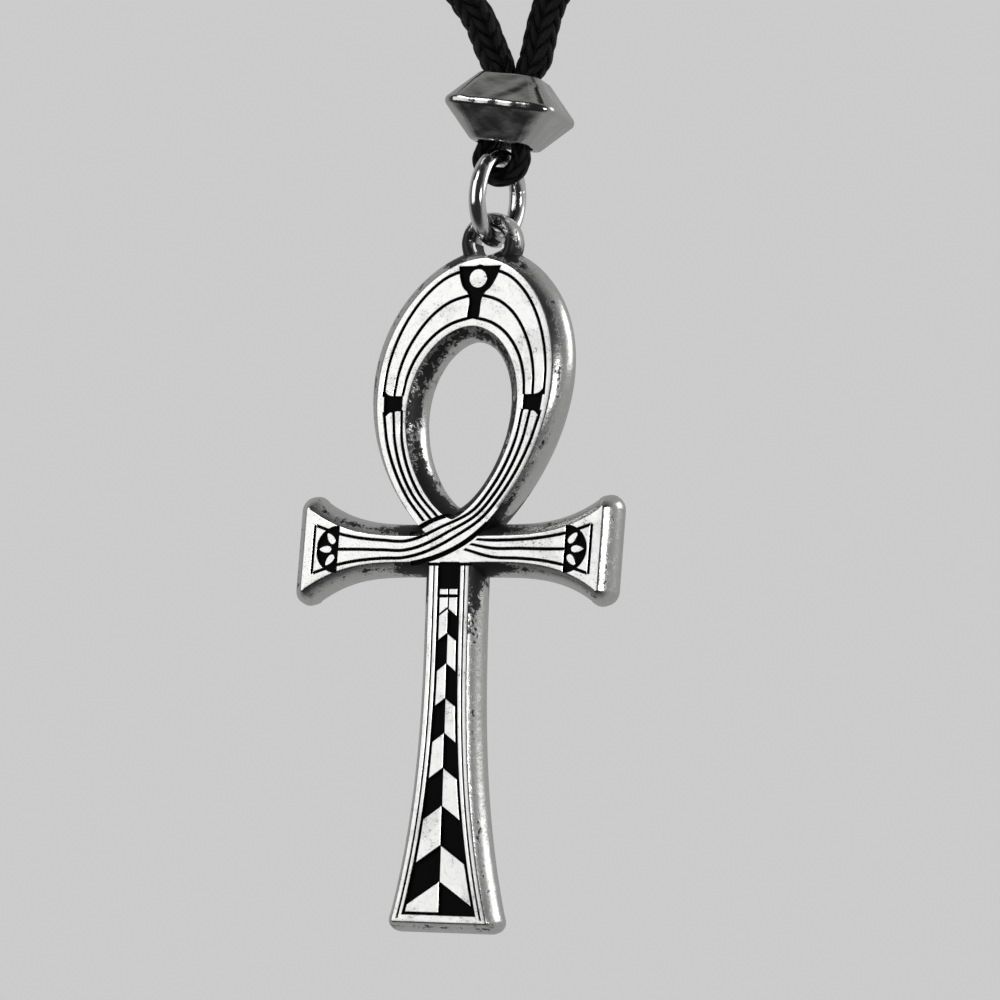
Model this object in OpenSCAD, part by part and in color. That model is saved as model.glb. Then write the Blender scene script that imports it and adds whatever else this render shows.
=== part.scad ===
// Ankh pendant on a braided neck cord, worn form.
// Millimetres, +Z up. The nape of the neck is at the origin and the pendant's face looks along -Y.

/* [Ankh outline] */
// Height of the loop's face above the middle of the arms
loop_h = 20.3; // [18:0.1:24]
// Width of the loop's face
loop_w = 13.1; // [12:0.1:16]
// Width of the hole in the loop, at the face
hole_w = 8.2; // [6.5:0.1:9]
// Height of the hole in the loop, at the face
hole_h = 13.4; // [11:0.1:14.5]
// Height of the hole's pointed end above the middle of the arms
hole_rise = 2.1; // [1.7:0.1:2.8]
// How far the top of the loop leans to the right of the shaft
loop_lean = 1.7; // [0:0.1:2.4]
// Length of the two arms from end to end
arm_span = 22.4; // [20:0.1:27]
// Height of an arm at its flared end
arm_end_h = 6.1; // [5:0.1:8]
// Height of an arm at its neck
arm_neck_h = 1.9; // [1.6:0.1:2.6]
// Sideways drift of the arm ends for each mm of height
arm_slant = 0.05; // [0:0.01:0.1]
// Length of the shaft below the middle of the arms
shaft_l = 25.8; // [22:0.1:32]
// Width of the shaft at its neck
shaft_neck_w = 3.1; // [2.7:0.1:3.8]
// Width of the shaft's foot
foot_w = 7.2; // [6:0.1:9]

/* [Ankh section] */
// Thickness of the casting between its two faces
cast_t = 3.3; // [2.6:0.1:4.2]
// How far the rounded edge of the loop and arms stands out past the face
edge_swell = 0.9; // [0.5:0.05:1.1]
// How far the rounded edge of the shaft stands out past the face
shaft_swell = 0.65; // [0.4:0.05:0.9]
// Radius of the corners of the faces
corner_r = 0.15; // [0.1:0.01:0.3]
// Depth of the sunk parts of the pattern
relief_d = 0.3; // [0.2:0.01:0.45]
// Width of the sunk lines
line_w = 0.2; // [0.14:0.01:0.26]
// Width of the sunk gap beside the ribbon that passes in front
cross_gap = 0.34; // [0.2:0.01:0.4]

/* [Ankh eyelet] */
// Inner diameter of the eyelet
eye_bore = 2.1; // [1.9:0.05:2.6]
// Width of metal round the eyelet's hole
eye_wall = 1.15; // [0.9:0.05:1.3]
// Thickness of the eyelet from front to back
eye_t = 2.3; // [1.8:0.05:2.6]
// Height of the eyelet's middle above the top of the loop's face
eye_rise = 1.2; // [1.0:0.05:1.6]

/* [Jump ring] */
// Thickness of the jump ring's wire
ring_wire = 1.2; // [0.9:0.05:1.3]
// Outer diameter of the jump ring
ring_od = 7; // [6.6:0.1:7.6]
// How far the ring is turned round the hanging line
ring_turn = -6; // [-10:0.5:0]

/* [Bead] */
// Width of the bead across its ridge
bead_w = 8; // [7:0.1:9]
// Width of the bead's flat ends
bead_end_w = 4.3; // [4.2:0.1:5.4]
// Height of the bead
bead_h = 4.8; // [4.4:0.1:6]
// Diameter of the bead's bore
bead_bore = 4; // [3.95:0.05:4.1]
// Radius of the bead's corners at its ridge
bead_r = 1.5; // [0.6:0.1:2.4]
// How far the bead is turned round the cord, towards the right
bead_turn = 7.5; // [-20:0.5:20]
// How far the bead leans to the right
bead_tilt = 3; // [0:0.5:4]
// How far the bead's middle sits to the right of the hanging line
bead_shift = 0.3; // [0.2:0.02:0.4]

/* [Cord and ferrule] */
// Diameter of the cord
cord_d = 2.4; // [2:0.1:2.5]
// Length of the ferrule that joins the cord's ends at the nape
ferrule_l = 14; // [10:0.5:18]
// Wall of the ferrule
ferrule_wall = 0.6; // [0.4:0.05:1]

/* [Clearances] */
// Gap between the cord's bight and the ring, and between the ring and the eyelet
hang_gap = 0.1; // [0.06:0.01:0.15]
// Gap between the top of the ring and the bead
bead_gap = 0.2; // [0.18:0.01:0.4]
// Gap between the cord and the inside of the ferrule
ferrule_gap = 0.08; // [0.05:0.01:0.2]

/* [Hidden] */
$fn = 48;

// Outline exponents: how blunt each teardrop is at its point and at its crown
loop_point = 0.72;
loop_crown = 0.56;
hole_crown = 0.54;
lean_power = 1.6;
// Straight share of each half arm and of the shaft beside the crossing, and how the rest flares
arm_flat = 0.25;
arm_power = 3;
shaft_flat = 0.15;
shaft_power = 2.75;

// How far the middle of a corner's arc lies in from the flared end, in corner radii
arm_corner_in = 1.6;
foot_corner_in = 1.2;
// How far the cutting bodies reach past what they cut
cut_over = 0.2;

// Shares of the half thickness at which the rounded edge has a ring of points
swell_shares = [0, 0.16, 0.45, 1];
shaft_shares = [0, 0.2, 0.53, 1];
edge_steps = 8;
loop_steps = 44;

// Cord route, right half, from the nape down to the bottom of the bight.
// Each row is x, y, z, the shares of the half diameter sideways and from front to back, and
// how far both strands drift sideways there.
bight_z = -207.7;
bight_share = 0.6;
front_y = -127;
route_half = [
    [0.5, 0, 0, 1, 1, 0],
    [8, 0, 0, 1, 1, 0],
    [30, -4, -3, 1, 1, 0],
    [51, -20, -10, 1, 1, 0],
    [62, -48, -28, 1, 1, 0],
    [61, -80, -62, 1, 1, 0],
    [50, -104, -104, 1, 1, 0],
    [32, front_y + 8, bight_z + 58, 1, 1, -0.9],
    [13.6, front_y + 1, bight_z + 27, 1, 1, -1.3],
    [5.2, front_y, bight_z + 15.2, 1, 1, -1.05],
    [3.3, front_y, bight_z + 12.6, 1, 1, -0.68],
    [2.4, front_y, bight_z + 10.9, 1, 1, -0.2],
    [1.86, front_y, bight_z + 9.3, 1, 1, 0.12],
    [1.42, front_y, bight_z + 8.16, 0.97, 1, 0.36],
    [1.1, front_y, bight_z + 7.66, 0.87, 1, 0.43],
    [0.96, front_y, bight_z + 7.2, 0.77, 1, 0.43],
    [0.96, front_y, bight_z + 6.2, 0.76, 1, 0.38],
    [0.97, front_y, bight_z + 4.2, 0.75, 0.98, 0.28],
    [1.04, front_y, bight_z + 3.2, 0.7, 0.92, 0.24],
    [1.2, front_y, bight_z + 2.35, 0.55, 0.81, 0.14],
    [1.39, front_y, bight_z + 1.8, 0.54, 0.7, 0.02],
    [1.47, front_y, bight_z + 1.4, 0.59, 0.7, 0],
    [1.37, front_y, bight_z + 0.9, 0.6, 0.72, 0],
    [1.02, front_y, bight_z + 0.37, 0.59, 0.72, 0],
    [0.52, front_y, bight_z + 0.07, 0.59, 0.7, 0],
    [0, front_y, bight_z, bight_share, 0.7, 0]
];
cord_sides = 8;
ring_pitch = 9;

// Places along the hanging line
bight_half = cord_d / 2 * bight_share;
ring_r = (ring_od - ring_wire) / 2;
ring_z = bight_z + bight_half + hang_gap + ring_wire / 2 - ring_r;
wire_low_z = ring_z - ring_r;
bead_z = ring_z + ring_od / 2 + bead_gap + bead_h / 2;
eye_z = wire_low_z + ring_wire / 2 + hang_gap - eye_bore / 2;
eye_own_z = loop_h + eye_rise;
eye_own_x = lean(eye_own_z);
// Turn at which the ankh's weight hangs under its eyelet
hang_tilt = 4.1;

function lean(z) = loop_lean * pow(max(z, 0) / loop_h, lean_power);
function bulge(s, a, b) = pow(s, a) * pow(1 - s, b) / (pow(a / (a + b), a) * pow(b / (a + b), b));
function unit(v) = v / norm(v);
function mix(a, b, t) = a + (b - a) * t;

// Point on the loop's outer edge and on the edge of its hole, s running from the crossing to the crown
function loop_pt(side, s, o = 0) =
    let (z = (loop_h + o) * s)
    [lean(z) + side * (loop_w / 2 + o) * bulge(s, loop_point, loop_crown), z];
function hole_pt(side, s, o = 0) =
    let (z = hole_rise + o + (hole_h - 2 * o) * s)
    [lean(z) + side * (hole_w / 2 - o) * bulge(s, loop_point, hole_crown), z];
function past(u, start) = max(u - start, 0) / (1 - start);
function arm_half(x) =
    arm_neck_h / 2 + (arm_end_h - arm_neck_h) / 2 * pow(past(abs(2 * x / arm_span), arm_flat), arm_power);
function arm_slope(x) =
    (arm_end_h - arm_neck_h) / arm_span / (1 - arm_flat) * arm_power
    * pow(past(abs(2 * x / arm_span), arm_flat), arm_power - 1);
function shaft_half(z) =
    shaft_neck_w / 2 + (foot_w - shaft_neck_w) / 2 * pow(past(-z / shaft_l, shaft_flat), shaft_power);
function shaft_slope(z) =
    (foot_w - shaft_neck_w) / 2 / shaft_l / (1 - shaft_flat) * shaft_power
    * pow(past(-z / shaft_l, shaft_flat), shaft_power - 1);

// Closed contours, anticlockwise seen from the front, grown by o past the face
function loop_contour(o) = [for (i = [0:loop_steps - 1])
    let (a = 360 * i / loop_steps)
    loop_pt(a < 180 ? 1 : -1, (1 - cos(a)) / 2, o)];
function hole_contour(o) = [for (i = [0:loop_steps - 1])
    let (a = 360 * i / loop_steps)
    hole_pt(a < 180 ? 1 : -1, (1 - cos(a)) / 2, o)];

// A rounded corner at c whose outline turns from angle a to angle b
function corner(c, a, b, o) = [for (i = [0:4])
    let (t = mix(a, b, i / 4))
    c + (corner_r + o) * [cos(t), sin(t)]];
function arm_quarter(o) =
    let (turn = 90 + atan(arm_slope(arm_span / 2)),
         c = [arm_span / 2 - corner_r, arm_half(arm_span / 2) - arm_corner_in * corner_r])
    concat(corner(c, 0, turn, o), [for (i = [1:edge_steps])
        let (x = arm_span / 2 * (1 - (1 - arm_flat) * i / edge_steps), n = unit([-arm_slope(x), 1]))
        [x, arm_half(x)] + o * n]);
function flip_x(list) = [for (i = [len(list) - 1:-1:0]) [-list[i][0], list[i][1]]];
function flip_z(list) = [for (i = [len(list) - 1:-1:0]) [list[i][0], -list[i][1]]];
function slanted(list) = [for (p = list) [p[0] + arm_slant * p[1], p[1]]];
function arm_contour(o) =
    let (top = concat(arm_quarter(o), flip_x(arm_quarter(o))))
    slanted(concat(top, flip_x(flip_z(flip_x(top)))));
function shaft_side(o) =
    let (turn = atan(shaft_slope(shaft_l)),
         c = [foot_w / 2 - foot_corner_in * corner_r, -shaft_l + corner_r])
    concat(corner(c, -90, turn, o), [for (i = [1:edge_steps])
        let (z = -shaft_l * (1 - (1 - shaft_flat) * i / edge_steps), n = unit([1, shaft_slope(z)]))
        [shaft_half(z), z] + o * n], [[shaft_neck_w / 2 + o, 0]]);
function shaft_contour(o) = concat(shaft_side(o), flip_x(shaft_side(o)));

// Solid between contours of equal length, given from the front plane to the back plane
module loft_back(contours, ys) {
    n = len(contours[0]);
    m = len(contours);
    points = [for (k = [0:m - 1]) for (p = contours[k]) [p[0], ys[k], p[1]]];
    sides = [for (k = [0:m - 2]) for (i = [0:n - 1])
        let (a = k * n + i, b = k * n + (i + 1) % n)
        each [[a, b + n, a + n], [a, b, b + n]]];
    polyhedron(points, concat([[for (i = [n - 1:-1:0]) i]], sides,
                              [[for (i = [0:n - 1]) (m - 1) * n + i]]));
}

// Depths of the rings of points across the whole casting, and how far the edge stands out at each
function ring_depths(shares) = concat([for (u = shares) -cast_t / 2 * (1 - u)],
                                      [for (i = [len(shares) - 2:-1:0]) cast_t / 2 * (1 - shares[i])]);
function stand_out(y) = 1 - pow(abs(2 * y / cast_t), 2);
edge_ys = ring_depths(swell_shares);
shaft_ys = ring_depths(shaft_shares);

module loop_body() {
    difference() {
        loft_back([for (y = edge_ys) loop_contour(edge_swell * stand_out(y))], edge_ys);
        loft_back([for (y = edge_ys) hole_contour(edge_swell * stand_out(y))],
                  [for (y = edge_ys) y * (1 + cut_over / cast_t)]);
    }
}

module arm_body() {
    loft_back([for (y = edge_ys) arm_contour(edge_swell * stand_out(y))], edge_ys);
}

module shaft_body() {
    loft_back([for (y = shaft_ys) shaft_contour(shaft_swell * stand_out(y))], shaft_ys);
}

// Eyelet: a round band with a rounded section, its axis from front to back.
// The section reaches a little into the bore, which trims it to a flat land.
eye_land = 0.06;
module eyelet() {
    steps = 12;
    section = [for (i = [0:steps - 1])
        let (a = 360 * i / steps)
        [(eye_bore + eye_wall - eye_land + (eye_wall + eye_land) * cos(a)) / 2, eye_t / 2 * sin(a)]];
    translate([eye_own_x, 0, eye_own_z]) rotate([90, 0, 0]) rotate_extrude($fn = 32) polygon(section);
}

// Shoulders that join the eyelet to the top of the loop
shoulder_w_share = 0.94;
shoulder_t_share = 0.68;
shoulder_drop = 1.5;
module shoulders() {
    w = (eye_bore + 2 * eye_wall) * shoulder_w_share;
    t = eye_t * shoulder_t_share;
    translate([eye_own_x - w / 2, -t / 2, eye_own_z - shoulder_drop * eye_rise])
        cube([w, t, shoulder_drop * eye_rise]);
}

// A sunk area: the outline is pressed into both faces
module sunk(outline) {
    for (face = [0, 1])
        mirror([0, face, 0])
            translate([0, relief_d - cast_t / 2, 0])
                rotate([90, 0, 0])
                    linear_extrude(relief_d + cut_over) polygon(outline);
}

// Smooth curve through a list of rows, as a function of the row number
function slope_at(p, i) =
    i == 0 ? (p[1] - p[0]) / norm(flat(p[1]) - flat(p[0])) :
    i == len(p) - 1 ? (p[i] - p[i - 1]) / norm(flat(p[i]) - flat(p[i - 1])) :
    let (a = norm(flat(p[i]) - flat(p[i - 1])), b = norm(flat(p[i + 1]) - flat(p[i])))
    ((p[i] - p[i - 1]) / a * b + (p[i + 1] - p[i]) / b * a) / (a + b);
function flat(row) = [row[0], row[1], len(row) > 3 ? row[2] : 0];
function curve_at(p, u) =
    let (i = min(floor(u), len(p) - 2), t = u - i, l = norm(flat(p[i + 1]) - flat(p[i])))
    (2 * pow(t, 3) - 3 * pow(t, 2) + 1) * p[i] + (pow(t, 3) - 2 * pow(t, 2) + t) * l * slope_at(p, i)
    + (3 * pow(t, 2) - 2 * pow(t, 3)) * p[i + 1] + (pow(t, 3) - pow(t, 2)) * l * slope_at(p, i + 1);

// A band has two edges, each a list of points, and a list of shares for its three lines.
// Share 0 is the first edge and share 1 is the second edge.
function across(edges, u, share) = mix(curve_at(edges[0], u), curve_at(edges[1], u), share);
function width_at(edges, u) = norm(curve_at(edges[0], u) - curve_at(edges[1], u));
function share_at(shares, u) =
    let (i = floor(u))
    mix(shares[i], shares[min(i + 1, len(shares) - 1)], u - i);
function strip_side(edges, shares, w, u) =
    across(edges, u, share_at(shares, u) + w / 2 / width_at(edges, u));
function strip(edges, shares, w, u0, u1, n) = concat(
    [for (i = [0:n]) strip_side(edges, shares, -w, mix(u0, u1, i / n))],
    [for (i = [n:-1:0]) strip_side(edges, shares, w, mix(u0, u1, i / n))]);

// Upper loop bands, from the side break at row 0 to the crown at row 6
upper_rows = [0.53, 0.63, 0.73, 0.82, 0.9, 0.96, 1];
hole_row_share = 0.75;
function upper_edges(side) = [[for (s = upper_rows) loop_pt(side, s)],
                              [for (s = upper_rows) hole_pt(side, 1 - hole_row_share * (1 - s))]];
upper_shares = [[0.2, 0.2, 0.19, 0.17, 0.14, 0.12, 0.12],
                [0.53, 0.53, 0.53, 0.53, 0.52, 0.52, 0.52],
                [0.79, 0.79, 0.8, 0.82, 0.84, 0.86, 0.86]];

// Ribbon that passes in front: right side of the loop, crossing, left arm
arm_rows = [0.3, 0.46, 0.62, 0.77, 0.92];
function arm_pt(side, up, share) =
    let (x = side * arm_span / 2 * share)
    [x + arm_slant * up * arm_half(x), up * arm_half(x)];
over_edges = [
    concat([for (s = [0.47, 0.35, 0.25, 0.17, 0.1]) loop_pt(1, s)],
           [[0.03 * arm_span, 0.2 * arm_neck_h]],
           [for (s = arm_rows) arm_pt(-1, -1, s)]),
    concat([for (s = [0.57, 0.41, 0.27, 0.165, 0.07]) hole_pt(1, s)],
           [[-0.06 * arm_span, 0.88 * hole_rise]],
           [for (s = arm_rows) arm_pt(-1, 1, s)])];
over_shares = [[0.2, 0.24, 0.26, 0.27, 0.27, 0.26, 0.2, 0.18, 0.17, 0.16, 0.16],
               [0.54, 0.53, 0.52, 0.52, 0.52, 0.5, 0.47, 0.48, 0.5, 0.5, 0.5],
               [0.79, 0.78, 0.77, 0.77, 0.76, 0.75, 0.8, 0.82, 0.83, 0.84, 0.84]];

// Ribbon that passes behind: left side of the loop down to the crossing
under_edges = [[for (s = [0.47, 0.35, 0.25, 0.17, 0.09]) loop_pt(-1, s)],
               [for (s = [0.57, 0.41, 0.27, 0.14, 0.02]) hole_pt(-1, s)]];
under_shares = [[0.24, 0.26, 0.28, 0.28, 0.27],
                [0.55, 0.54, 0.52, 0.52, 0.52],
                [0.82, 0.8, 0.78, 0.77, 0.77]];

// The same ribbon past the crossing: right arm, first edge below
right_edges = [
    concat([[0.02 * arm_span, -0.12 * arm_neck_h]], [for (s = arm_rows) arm_pt(1, -1, s)]),
    concat([[0.1 * arm_span, 0.5 * arm_neck_h]], [for (s = arm_rows) arm_pt(1, 1, s)])];
right_shares = [[0.24, 0.2, 0.18, 0.17, 0.16, 0.16],
                [0.52, 0.52, 0.52, 0.5, 0.5, 0.5],
                [0.78, 0.82, 0.83, 0.84, 0.84, 0.84]];

module loop_pattern() {
    for (side = [-1, 1], line = [0:2])
        sunk(strip(upper_edges(side), upper_shares[line], line_w, 0, line == 1 ? 5.75 : 6, 8));
    for (line = [0:2]) {
        sunk(strip(over_edges, over_shares[line], line_w, 0, line == 1 ? 9 : 10, 22));
        sunk(strip(under_edges, under_shares[line], line_w, 0, 4, 7));
        sunk(strip(right_edges, right_shares[line], line_w, 0.1, line == 1 ? 4 : 5, 8));
    }
    // Gaps along both sides of the front ribbon where it crosses
    sunk(strip(over_edges, [for (s = over_shares[0]) 1 + cross_gap / 5], cross_gap, 4.3, 5.9, 5));
    sunk(strip(over_edges, [for (s = over_shares[0]) -cross_gap / 5], cross_gap, 4.1, 5.9, 5));
    // Side breaks
    sunk([across(upper_edges(-1), 0.16, 0.19), across(upper_edges(-1), 0.02, 0.8),
          across(under_edges, 0.1, 0.82), across(under_edges, 0.15, 0.24)]);
    sunk([across(upper_edges(1), 0.16, 0.19), across(upper_edges(1), 0.02, 0.8),
          across(over_edges, 0.1, 0.79), across(over_edges, 0.15, 0.2)]);
}

// Keystone at the crown with a plain raised disc in it
crown_shares = [0.12, 0.44, 0.5, 0.86];
crown_halves = [0.12, 0.075, 0.05, 0.035];
disc_share = 0.3;
disc_r_share = 0.42;
module crown_pattern() {
    function crown_pt(side, i) =
        let (z = mix(loop_h, hole_rise + hole_h, crown_shares[i]))
        [lean(z) + side * loop_w * crown_halves[i], z];
    disc_z = mix(loop_h, hole_rise + hole_h, disc_share);
    difference() {
        sunk(concat([for (i = [0:3]) crown_pt(-1, i)], [for (i = [3:-1:0]) crown_pt(1, i)]));
        translate([lean(disc_z), 0, disc_z])
            rotate([90, 0, 0])
                cylinder(h = cast_t, d = loop_w * crown_halves[0] * 2 * disc_r_share, center = true);
    }
}

// Fan at the end of each arm: a sunk half round with raised petals, inside a frame line
fan_x_share = 0.76;
fan_r_share = 0.66;
frame_x_share = 0.93;
frame_h_share = 0.68;
petal_turns = [-52, 0, 52];
// Each petal's inner tip, widest place and outer tip along the fan's radius, and its half width
petal_reach = [0.3, 0.64, 0.86];
petal_half = 0.13;
module arm_end(side) {
    half = arm_span / 2;
    fan_x = half * fan_x_share;
    fan_r = arm_half(half * frame_x_share) * fan_r_share;
    frame_x = half * frame_x_share;
    frame_top = arm_half(frame_x) * frame_h_share;
    function at(x, z) = [side * x + arm_slant * z, z];
    function petal_pt(turn, along, beside) =
        at(fan_x + fan_r * (along * cos(turn) - beside * sin(turn)),
           fan_r * (along * sin(turn) + beside * cos(turn)));
    difference() {
        sunk([for (i = [0:9]) at(fan_x + fan_r * sin(20 * i), fan_r * cos(20 * i))]);
        for (turn = petal_turns)
            rotate([90, 0, 0])
                linear_extrude(cast_t, center = true)
                    polygon([petal_pt(turn, petal_reach[0], 0),
                             petal_pt(turn, petal_reach[1], petal_half),
                             petal_pt(turn, petal_reach[2], 0),
                             petal_pt(turn, petal_reach[1], -petal_half)]);
    }
    sunk([at(frame_x - line_w / 2, -frame_top), at(frame_x + line_w / 2, -frame_top),
          at(frame_x + line_w / 2, frame_top), at(frame_x - line_w / 2, frame_top)]);
}

// Shaft pattern: two lines along each edge, a panel with bars and alternating blocks.
// Heights are shares of the shaft's length below the middle of the arms.
rim_w = 0.9;
rim_line_in = 0.4;
rim_line_top = 1.1;
rim_line_end = 0.3;
foot_rim = 0.55;
panel_top_share = 0.035;
bar_top_share = 0.107;
bar_low_share = 0.122;
block_shares = [0.159, 0.225, 0.306, 0.399, 0.492, 0.585, 0.686, 0.791, 0.888, 0.973];
block_drop = 0.8;
block_lap = 0.03;
thin_w = 0.6 * line_w;
module shaft_pattern() {
    function panel_half(z) = shaft_half(z) - rim_w;
    function edge_line(side, inset, w, z0, z1, n) = concat(
        [for (i = [0:n]) let (z = mix(z0, z1, i / n)) [side * (shaft_half(z) - inset - w / 2), z]],
        [for (i = [n:-1:0]) let (z = mix(z0, z1, i / n)) [side * (shaft_half(z) - inset + w / 2), z]]);
    function bar_half(z) = panel_half(z) + line_w / 2;
    function level_bar(top, low) = [[-bar_half(top), top], [bar_half(top), top],
                                    [bar_half(low), low], [-bar_half(low), low]];
    foot_z = -shaft_l + foot_rim;
    for (side = [-1, 1]) {
        sunk(edge_line(side, rim_line_in, thin_w, -rim_line_top, -shaft_l + rim_line_end, 9));
        sunk(edge_line(side, rim_w - line_w / 2, line_w, -rim_line_top, foot_z, 9));
        for (i = [0:len(block_shares) - 2])
            if ((i % 2 == 0) == (side == 1)) {
                top = -block_shares[i] * shaft_l;
                low = -block_shares[i + 1] * shaft_l;
                top_out = max(top - block_drop * panel_half(top), foot_z);
                low_out = max(low - block_drop * panel_half(low), foot_z);
                sunk([[-side * block_lap, top], [side * panel_half(top_out), top_out],
                      [side * panel_half(low_out), low_out], [-side * block_lap, low]]);
            }
    }
    // Sunk field above the bars, line under the bars and line above the foot's rim
    bar_top = -bar_top_share * shaft_l;
    bar_low = -bar_low_share * shaft_l;
    sunk(level_bar(-panel_top_share * shaft_l, bar_top));
    sunk(level_bar(bar_low, bar_low - line_w));
    sunk(level_bar(foot_z + line_w, foot_z));
    // Thin line between the bars and slanted line over the first raised block
    first = -block_shares[0] * shaft_l;
    first_out = first - block_drop * panel_half(first);
    sunk([[-thin_w / 2, bar_top + block_lap], [thin_w / 2, bar_top + block_lap],
          [thin_w / 2, first], [-thin_w / 2, first]]);
    sunk([[block_lap, first + thin_w], [-panel_half(first), first_out + thin_w],
          [-panel_half(first), first_out], [block_lap, first]]);
}

// The patterned casting with its bored eyelet, as one shell held to the casting's thickness
module casting() {
    resize([0, cast_t, 0])
        difference() {
            union() {
                loop_body();
                arm_body();
                shaft_body();
                eyelet();
                shoulders();
            }
            loop_pattern();
            crown_pattern();
            arm_end(-1);
            arm_end(1);
            shaft_pattern();
            translate([eye_own_x, 0, eye_own_z])
                rotate([90, 0, 0])
                    cylinder(h = 2 * cast_t, d = eye_bore, center = true);
        }
}

module ankh() {
    color("gainsboro")
        translate([0, front_y, eye_z])
            rotate([0, -hang_tilt, 0])
                translate([-eye_own_x, 0, -eye_own_z])
                    casting();
}

module jump_ring() {
    color("silver")
        translate([0, front_y, ring_z])
            rotate([0, 90, ring_turn])
                rotate_extrude() translate([ring_r, 0]) circle(d = ring_wire);
}

// Bead: a square double cone with rounded corners, bored from end to end
function square_ring(half, r) = [for (q = [0:3], i = [0:4])
    let (a = 90 * q + 22.5 * i, c = (half - r) * [q == 0 || q == 3 ? 1 : -1, q < 2 ? 1 : -1])
    c + r * [cos(a), sin(a)]];
bead_levels = [[-1, 0.92], [-0.94, 1], [-0.14, 1.9], [0, 2], [0.14, 1.9], [0.94, 1], [1, 0.92]];
module bead() {
    function level_half(k) = k <= 1 ? k * bead_end_w / 2 : mix(bead_end_w, bead_w, k - 1) / 2;
    rings = [for (level = bead_levels)
        let (half = level_half(level[1]))
        square_ring(half, bead_r * half / (bead_w / 2))];
    n = len(rings[0]);
    m = len(rings);
    points = [for (k = [0:m - 1]) for (p = rings[k]) [p[0], p[1], bead_levels[k][0] * bead_h / 2]];
    sides = [for (k = [0:m - 2]) for (i = [0:n - 1])
        let (a = k * n + i, b = k * n + (i + 1) % n)
        each [[a, a + n, b + n], [a, b + n, b]]];
    color("silver")
        translate([bead_shift, front_y, bead_z])
            rotate([0, bead_tilt, 0]) rotate([0, 0, bead_turn])
                difference() {
                    polyhedron(points, concat([[for (i = [0:n - 1]) i]], sides,
                                              [[for (i = [n - 1:-1:0]) (m - 1) * n + i]]));
                    cylinder(h = 2 * bead_h, d = bead_bore, center = true);
                }
}

// Whole route: the right half, then the left half back up to the nape
function strand_row(r, side) = [side * r[0] + r[5], r[1], r[2], r[3], r[4]];
route = concat([for (r = route_half) strand_row(r, 1)],
               [for (i = [len(route_half) - 2:-1:0]) strand_row(route_half[i], -1)]);
route_rows = [for (i = [0:len(route) - 2])
    let (n = max(1, ceil(norm(flat(route[i + 1]) - flat(route[i])) / ring_pitch)))
    for (k = [0:n - 1]) curve_at(route, i + k / n)];
cord_rows = concat(route_rows, [route[len(route) - 1]]);
function place(row) = [row[0], row[1], row[2]];
function cord_dir(i) =
    unit(place(cord_rows[min(i + 1, len(cord_rows) - 1)]) - place(cord_rows[max(i - 1, 0)]));
function carry(v, t) = unit(v - (v * t) * t);
last_row = len(cord_rows) - 1;
cord_ups = [for (i = 0, v = [0, 0, 1]; i <= last_row;
                 i = i + 1, v = carry(v, cord_dir(min(i, last_row)))) v];
module cord() {
    n = cord_sides;
    m = len(cord_rows);
    points = [for (i = [0:m - 1]) for (k = [0:n - 1])
        let (t = cord_dir(i), v = carry(cord_ups[i], t), w = cross(t, v), a = 360 * k / n,
             d = v * cos(a) + w * sin(a), y = d[1], row = cord_rows[i],
             r = cord_d / 2 / sqrt(pow(y / row[4], 2) + (1 - pow(y, 2)) / pow(row[3], 2)))
        place(row) + r * d];
    sides = [for (i = [0:m - 2]) for (k = [0:n - 1])
        let (a = i * n + k, b = i * n + (k + 1) % n)
        each [[a, a + n, b + n], [a, b + n, b]]];
    color("dimgray")
        polyhedron(points, concat([[for (k = [0:n - 1]) k]], sides,
                                  [[for (k = [n - 1:-1:0]) (m - 1) * n + k]]));
}

module ferrule() {
    bore = cord_d + 2 * ferrule_gap;
    outer = bore + 2 * ferrule_wall;
    color("silver")
        rotate([0, 90, 0])
            difference() {
                cylinder(h = ferrule_l, d = outer, center = true);
                cylinder(h = 2 * ferrule_l, d = bore, center = true);
            }
}

ankh();
jump_ring();
bead();
cord();
ferrule();
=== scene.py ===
import math

import bmesh
import bpy
from mathutils import Matrix, Vector
from mathutils.kdtree import KDTree


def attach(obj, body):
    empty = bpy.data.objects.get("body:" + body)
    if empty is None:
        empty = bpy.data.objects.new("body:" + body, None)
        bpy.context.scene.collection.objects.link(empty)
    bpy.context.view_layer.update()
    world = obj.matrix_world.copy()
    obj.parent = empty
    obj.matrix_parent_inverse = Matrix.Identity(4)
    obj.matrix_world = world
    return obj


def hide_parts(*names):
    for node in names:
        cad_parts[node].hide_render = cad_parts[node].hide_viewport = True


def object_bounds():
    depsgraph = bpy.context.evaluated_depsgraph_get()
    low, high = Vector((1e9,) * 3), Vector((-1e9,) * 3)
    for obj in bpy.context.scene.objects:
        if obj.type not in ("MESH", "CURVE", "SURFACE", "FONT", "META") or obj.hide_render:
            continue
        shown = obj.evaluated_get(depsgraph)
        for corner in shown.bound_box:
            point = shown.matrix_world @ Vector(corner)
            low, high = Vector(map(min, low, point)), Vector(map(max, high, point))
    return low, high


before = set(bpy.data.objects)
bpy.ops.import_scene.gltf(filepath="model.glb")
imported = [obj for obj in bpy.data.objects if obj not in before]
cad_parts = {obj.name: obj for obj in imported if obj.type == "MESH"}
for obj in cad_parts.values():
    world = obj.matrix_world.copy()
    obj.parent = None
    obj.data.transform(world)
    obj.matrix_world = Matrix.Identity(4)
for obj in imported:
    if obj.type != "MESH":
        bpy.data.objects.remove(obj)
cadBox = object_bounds()
mm = 0.001

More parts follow.
